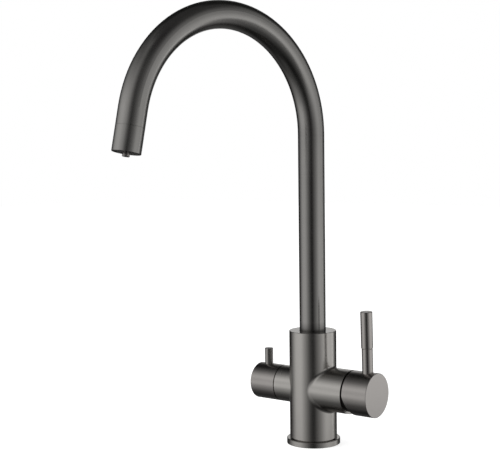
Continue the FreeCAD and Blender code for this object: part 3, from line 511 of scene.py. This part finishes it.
# Faint low light that shows the tap's back
LOW_BACK_BY_ANGLE = [(110, 0.00), (140, 1.00)]
LOW_BACK_BY_RISE = [(-1.6, 0.00), (-0.90, 0.06), (-0.50, 0.12), (-0.38, 0.12), (-0.22, 0.00)]


def seen_directly(tree):
    """1 for rays of the camera and for those that metal and glass send on."""
    camera, glossy, transmitted = [
        tree.node("ShaderNodeLightPath", {}, {}, name)
        for name in ("Is Camera Ray", "Is Glossy Ray", "Is Transmission Ray")
    ]
    return tree.maths("MAXIMUM", tree.maths("MAXIMUM", camera, glossy), transmitted)


def make_world():
    """White to look at, and a softer light on the pieces."""
    world = bpy.data.worlds.new("white_room")
    bpy.context.scene.world = world
    tree = Tree(world)
    level = tree.choose(seen_directly(tree), ROOM_LIGHT, 1.0)
    background = tree.node("ShaderNodeBackground", {}, {"Color": WHITE, "Strength": level})
    tree.surface(background, "ShaderNodeOutputWorld")


def link(thing):
    bpy.context.scene.collection.objects.link(thing)


def stage_mesh(name, points, faces, material):
    mesh = bpy.data.meshes.new(name)
    mesh.from_pydata(points, [], faces)
    made = bpy.data.objects.new(name, mesh)
    made.data.materials.append(material)
    link(made)
    return made


def make_floor():
    """Pale floor that keeps the tap's shadow."""
    material, tree = new_material("pale_floor")
    matt = tree.node("ShaderNodeBsdfDiffuse", {}, {"Color": grey(FLOOR_GREY)})
    glow_values = {"Color": WHITE, "Strength": seen_directly(tree) * FLOOR_GLOW}
    glow = tree.node("ShaderNodeEmission", {}, glow_values)
    tree.surface(tree.node("ShaderNodeAddShader", {}, {0: matt, 1: glow}))
    half = FLOOR_HALF
    corners = [(-half, -half, 0), (half, -half, 0), (half, half, 0), (-half, half, 0)]
    floor = stage_mesh("floor", corners, [(0, 1, 2, 3)], material)
    floor.visible_glossy = False


def tent_light(tree):
    """Brightness of the tent's wall, from all its lights."""
    point = tree.place()
    forward = (math.cos(TENT_FRONT), math.sin(TENT_FRONT), 0)
    to_right = (-math.sin(TENT_FRONT), math.cos(TENT_FRONT), 0)
    turn = tree.maths("ARCTAN2", tree.dot(point, to_right), tree.dot(point, forward))
    angle = turn * math.degrees(1)
    rise = tree.dot(point, Z_AXIS) * (1 / TENT_RADIUS)

    def light(at_angle, by_angle, by_rise):
        return tree.ramp(at_angle, by_angle) * tree.ramp(rise, by_rise)

    left = light(abs(angle), LEFT_BY_ANGLE, LEFT_BY_RISE)
    right = light(abs(angle), RIGHT_BY_ANGLE, RIGHT_BY_RISE)
    overhead = light(angle, OVERHEAD_BY_ANGLE, OVERHEAD_BY_RISE)
    back = light(180 - abs(angle), BACK_BY_ANGLE_FROM_BACK, BACK_BY_RISE)
    low_back = light(abs(angle), LOW_BACK_BY_ANGLE, LOW_BACK_BY_RISE)
    return TENT_DARK + tree.choose(angle > 0, left, right) + overhead + back + low_back


def glowing(name, light):
    """Cloth that glows with one grey, or with the levels that a function gives."""
    material, tree = new_material(name)
    colour = light(tree) if callable(light) else grey(light)
    tree.surface(tree.node("ShaderNodeEmission", {}, {"Color": colour, "Strength": 1.0}))
    return material


def make_tent():
    """Light tent round the tap, seen only in the metal: a wall, a ground and a roof."""
    count = 360 // TENT_STEP_DEG
    angles = [TENT_FRONT + math.radians(TENT_STEP_DEG * i) for i in range(count)]
    points = [
        (TENT_RADIUS * math.cos(angle), TENT_RADIUS * math.sin(angle), height)
        for height in (-TENT_HALF_HEIGHT, TENT_HALF_HEIGHT)
        for angle in angles
    ]
    faces = [(i, (i + 1) % count, count + (i + 1) % count, count + i) for i in range(count)]
    disc = [tuple(range(count))]
    parts = (
        stage_mesh("light_tent_wall", points, faces, glowing("tent_wall", tent_light)),
        stage_mesh("light_tent_ground", points[:count], disc, glowing("tent_ground", TENT_GROUND)),
        stage_mesh("light_tent_roof", points[count:], disc, glowing("tent_roof", TENT_ROOF)),
    )
    for part in parts:
        part.visible_camera = False
        part.visible_diffuse = False
        part.visible_shadow = False
        part.visible_transmission = False


def make_lamp(name, place, watts):
    lamp = bpy.data.lights.new(name, "AREA")
    lamp.shape = "DISK"
    lamp.size = LAMP_SIZE
    lamp.energy = watts
    made = bpy.data.objects.new(name, lamp)
    made.location = place
    made.rotation_euler = (LAMP_TARGET - Vector(place)).to_track_quat("-Z", "Y").to_euler()
    made.visible_glossy = False
    link(made)


def make_camera():
    level_forward = Vector((-math.sin(CAMERA_YAW), math.cos(CAMERA_YAW), 0))
    forward = level_forward * math.cos(CAMERA_PITCH) + Z_AXIS * math.sin(CAMERA_PITCH)
    level_right = Vector((math.cos(CAMERA_YAW), math.sin(CAMERA_YAW), 0))
    level_up = level_right.cross(forward)
    right = level_right * math.cos(CAMERA_ROLL) + level_up * math.sin(CAMERA_ROLL)
    upward = level_up * math.cos(CAMERA_ROLL) - level_right * math.sin(CAMERA_ROLL)
    lens = bpy.data.cameras.new("camera")
    lens.lens = CAMERA_LENS_MM
    camera = bpy.data.objects.new("camera", lens)
    facing = Matrix((right, upward, -forward)).transposed()
    camera.matrix_world = Matrix.Translation(CAMERA_PLACE) @ facing.to_4x4()
    link(camera)
    bpy.context.scene.camera = camera


make_world()
make_floor()
make_tent()
for lamp in LAMPS:
    make_lamp(*lamp)
make_camera()
bpy.context.scene.view_settings.view_transform = "Standard"
